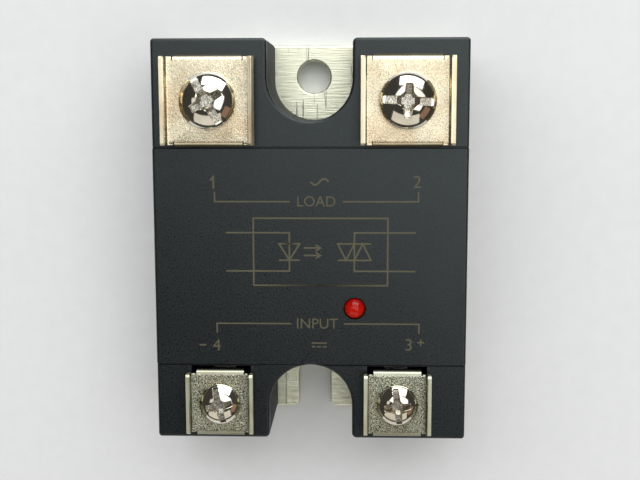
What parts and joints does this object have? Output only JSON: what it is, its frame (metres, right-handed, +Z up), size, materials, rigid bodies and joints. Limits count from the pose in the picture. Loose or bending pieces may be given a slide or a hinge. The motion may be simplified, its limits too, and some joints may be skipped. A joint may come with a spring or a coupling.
{
  "type": "solid state relay",
  "caption": "Panel-mount relay block with a metal base plate, a black moulded case, screw clamp terminals at both ends, an indicator lamp and fixing notches.",
  "frame": {"origin": "centre of the base plate's underside", "axes": "+Z up through the screws, +Y towards the load terminals, +X to the right as the label is read"},
  "size_m": [0.0454, 0.0584, 0.0228],
  "materials": {
    "case": "moulded, fine spark-eroded texture",
    "plate": "fine-milled, slightly warm",
    "clamp": "nickel plated, fine sandy pressing texture",
    "screw": "bright plated",
    "copper": "copper, lightly tarnished",
    "tinned": "tin plated",
    "ceramic": "white alumina",
    "board": "green solder mask",
    "moulding": "black epoxy moulding",
    "capacitor": "yellow dipped box",
    "potting": "grey silicone gel",
    "lamp": "clear-tinted red lens"
  },
  "bodies": {
    "relay_body": {"base_plate": "plate", "case": "case", "potting_compound": "potting", "ceramic_substrate": "ceramic", "copper_pad_1": "copper", "copper_pad_2": "copper", "thyristor_1": "moulding", "thyristor_2": "moulding", "bridge_clip_1": "copper", "bridge_clip_2": "copper", "gate_pin_1": "tinned", "gate_pin_2": "tinned", "sense_pin_1": "tinned", "sense_pin_2": "tinned", "control_board": "board", "optocoupler": "moulding", "input_resistor": "ceramic", "input_diode": "moulding", "input_transistor": "moulding", "gate_resistor_1": "ceramic", "gate_resistor_2": "ceramic", "snubber_capacitor": "capacitor", "snubber_resistor": "ceramic", "indicator_led": "lamp", "load_strip_1": "copper", "load_nut_1": "tinned", "load_strip_2": "copper", "load_nut_2": "tinned", "input_strip_3": "tinned", "input_nut_3": "tinned", "input_strip_4": "tinned", "input_nut_4": "tinned"},
    "load_clamp_1": {"load_clamp_1": "clamp"},
    "load_screw_1": {"load_screw_1": "screw"},
    "load_clamp_2": {"load_clamp_2": "clamp"},
    "load_screw_2": {"load_screw_2": "screw"},
    "input_clamp_3": {"input_clamp_3": "clamp"},
    "input_screw_3": {"input_screw_3": "screw"},
    "input_clamp_4": {"input_clamp_4": "clamp"},
    "input_screw_4": {"input_screw_4": "screw"}
  },
  "joints": [
    {"name": "load_clamp_1_lift", "type": "slide", "parent": "relay_body", "child": "load_clamp_1", "axis": [0, 0, 1], "range_m": [0, 0.003]},
    {"name": "load_screw_1_turn", "type": "hinge", "parent": "load_clamp_1", "child": "load_screw_1", "pos_m": [-0.01435, 0.02035, 0.02055], "axis": [0, 0, 1], "range_deg": [0, 1542.96]},
    {"name": "load_clamp_2_lift", "type": "slide", "parent": "relay_body", "child": "load_clamp_2", "axis": [0, 0, 1], "range_m": [0, 0.003]},
    {"name": "load_screw_2_turn", "type": "hinge", "parent": "load_clamp_2", "child": "load_screw_2", "pos_m": [0.01385, 0.02035, 0.02055], "axis": [0, 0, 1], "range_deg": [0, 1542.96]},
    {"name": "input_clamp_3_lift", "type": "slide", "parent": "relay_body", "child": "input_clamp_3", "axis": [0, 0, 1], "range_m": [0, 0.0025]},
    {"name": "input_screw_3_turn", "type": "hinge", "parent": "input_clamp_3", "child": "input_screw_3", "pos_m": [0.0127, -0.02355, 0.02025], "axis": [0, 0, 1], "range_deg": [0, 1800.1]},
    {"name": "input_clamp_4_lift", "type": "slide", "parent": "relay_body", "child": "input_clamp_4", "axis": [0, 0, 1], "range_m": [0, 0.0025]},
    {"name": "input_screw_4_turn", "type": "hinge", "parent": "input_clamp_4", "child": "input_screw_4", "pos_m": [-0.0132, -0.02355, 0.02025], "axis": [0, 0, 1], "range_deg": [0, 1800.1]}
  ],
  "couplings": [
    {"joint": "load_screw_1_turn", "follows": "load_clamp_1_lift", "rad_per_m": 8976},
    {"joint": "load_screw_2_turn", "follows": "load_clamp_2_lift", "rad_per_m": 8976},
    {"joint": "input_screw_3_turn", "follows": "input_clamp_3_lift", "rad_per_m": 12566},
    {"joint": "input_screw_4_turn", "follows": "input_clamp_4_lift", "rad_per_m": 12566}
  ]
}
